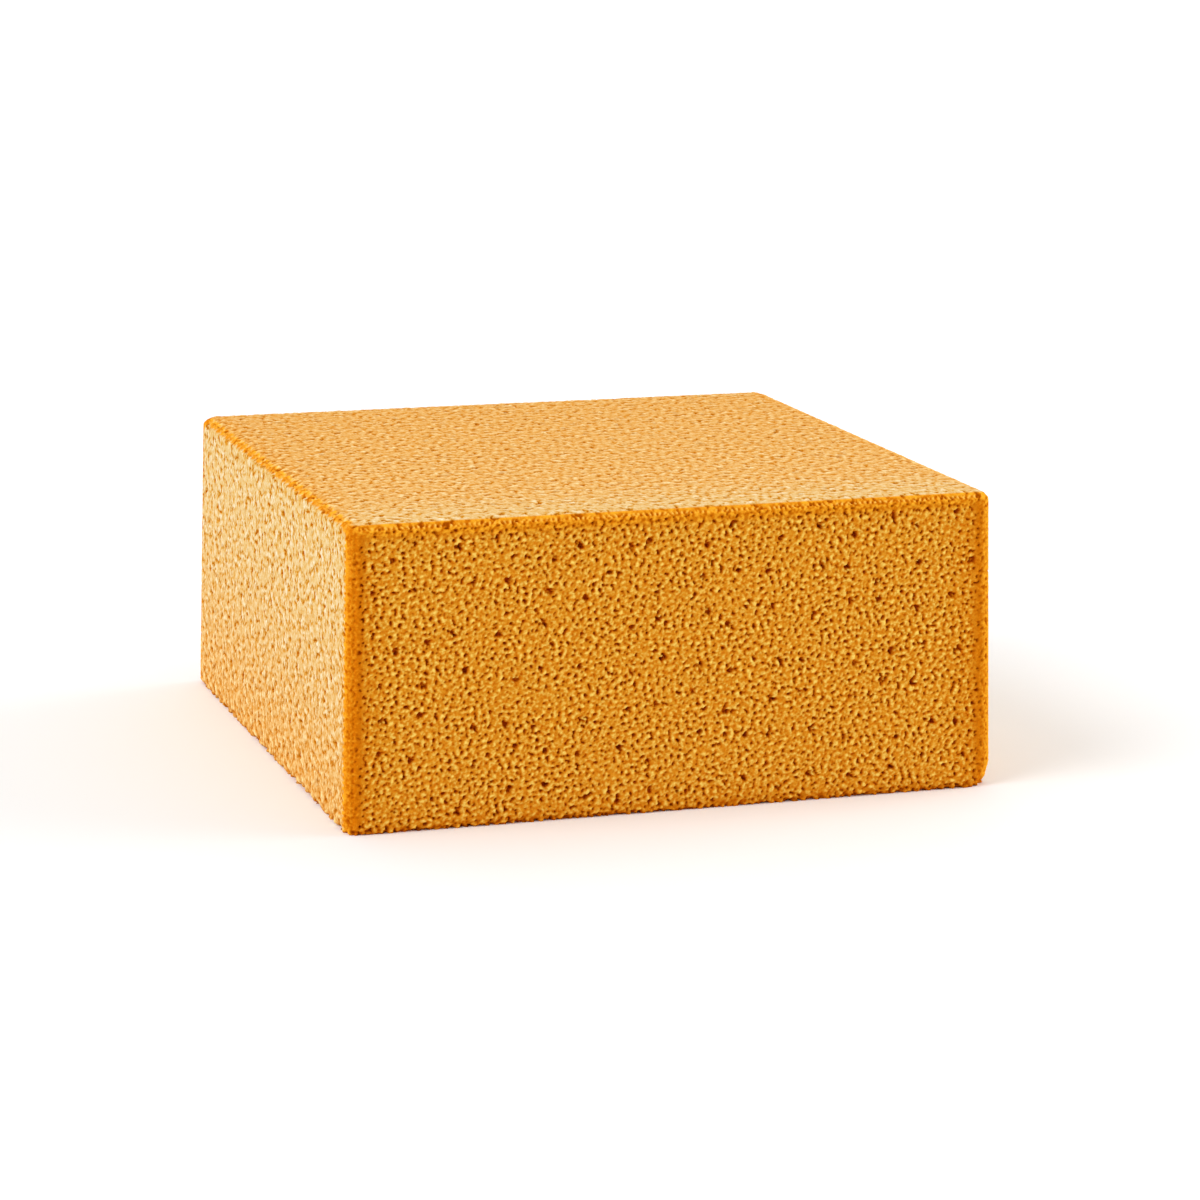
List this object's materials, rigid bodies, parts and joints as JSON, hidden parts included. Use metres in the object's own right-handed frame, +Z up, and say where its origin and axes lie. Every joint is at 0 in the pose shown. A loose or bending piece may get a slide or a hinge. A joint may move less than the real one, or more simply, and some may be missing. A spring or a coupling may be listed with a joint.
{
  "type": "white chocolate mud cake",
  "caption": "Uncut, un-iced square mud cake turned out of its tin: a golden open-crumb block with rounded, browned edges and walls that lean in a little.",
  "frame": {"origin": "middle of the flat base", "axes": "+Z up, +X to the right along the front, front face towards -Y"},
  "size_m": [0.203, 0.203, 0.091],
  "materials": {
    "crumb": "matte"
  },
  "bodies": {
    "root": {"cake": "crumb"}
  },
  "joints": []
}
